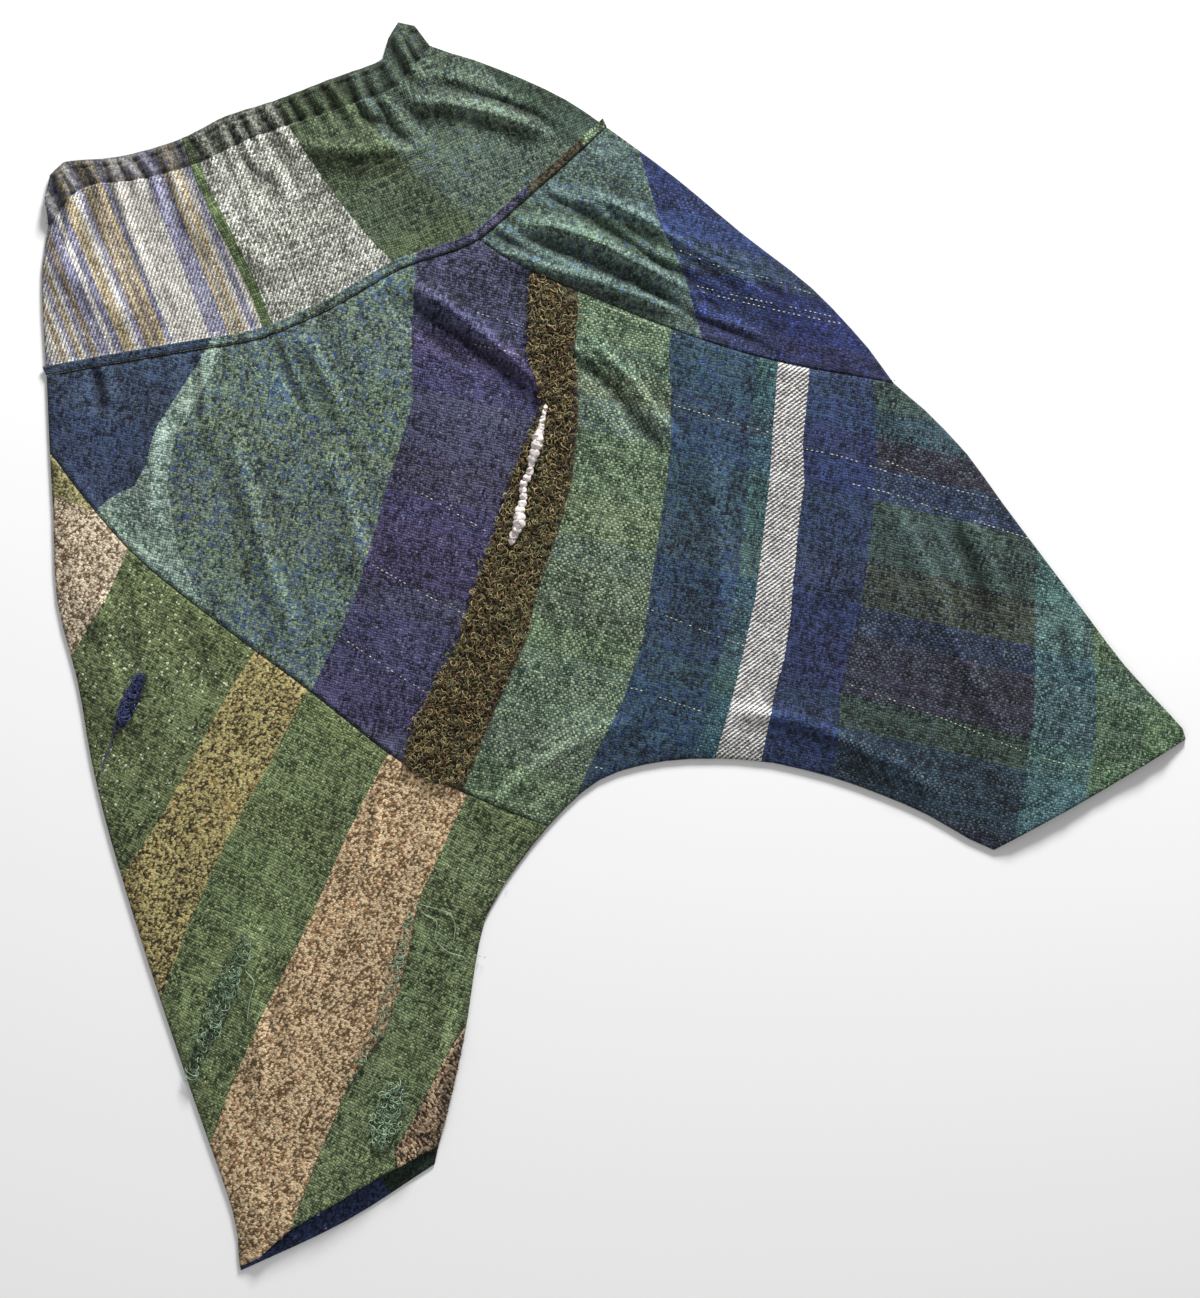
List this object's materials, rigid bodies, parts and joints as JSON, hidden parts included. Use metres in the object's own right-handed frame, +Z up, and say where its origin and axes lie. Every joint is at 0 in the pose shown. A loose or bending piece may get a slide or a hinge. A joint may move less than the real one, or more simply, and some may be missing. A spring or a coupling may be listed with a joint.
{
  "type": "cropped baggy trousers",
  "caption": "Cropped baggy trousers in handwoven striped patchwork cloth, elastic gathered waist, dropped crotch, laid flat on their back.",
  "frame": {"origin": "middle of the bounding box in X and Y, on the surface that the garment lies on", "axes": "+Y towards the waist, +X towards the viewer's right with the waist up, +Z up, out of the garment's front"},
  "size_m": [0.9116, 0.8946, 0.0167],
  "materials": {
    "green_cloth": "matte handwoven cotton",
    "striped_cloth": "matte handwoven cotton, wide navy, purple, green, teal and white stripes",
    "navy_cloth": "matte handwoven cotton with speckles",
    "yoke_cloth": "matte handwoven cotton, tweed and green stripes",
    "leg_cloth": "matte handwoven cotton, green, olive and pink-tan stripes",
    "shaggy_pile": "curly looped pile, brown and olive",
    "white_yarn": "soft slub yarn",
    "green_threads": "frayed cotton threads",
    "navy_threads": "frayed cotton yarn",
    "tweed_cloth": "coarse brown and white tweed"
  },
  "bodies": {
    "root": {"waistband_front": "yoke_cloth", "waistband_back": "green_cloth", "front_yoke": "yoke_cloth", "back_yoke": "green_cloth", "front_body": "striped_cloth", "front_right_hip": "navy_cloth", "front_left_leg": "leg_cloth", "back_left": "navy_cloth", "back_right": "green_cloth", "leg_turned_edge": "tweed_cloth", "shaggy_strip": "shaggy_pile", "slub_yarn": "white_yarn", "frayed_slit": "green_threads", "frayed_ridge": "green_threads", "hem_tuft": "green_threads", "navy_yarn": "navy_threads"}
  },
  "joints": []
}
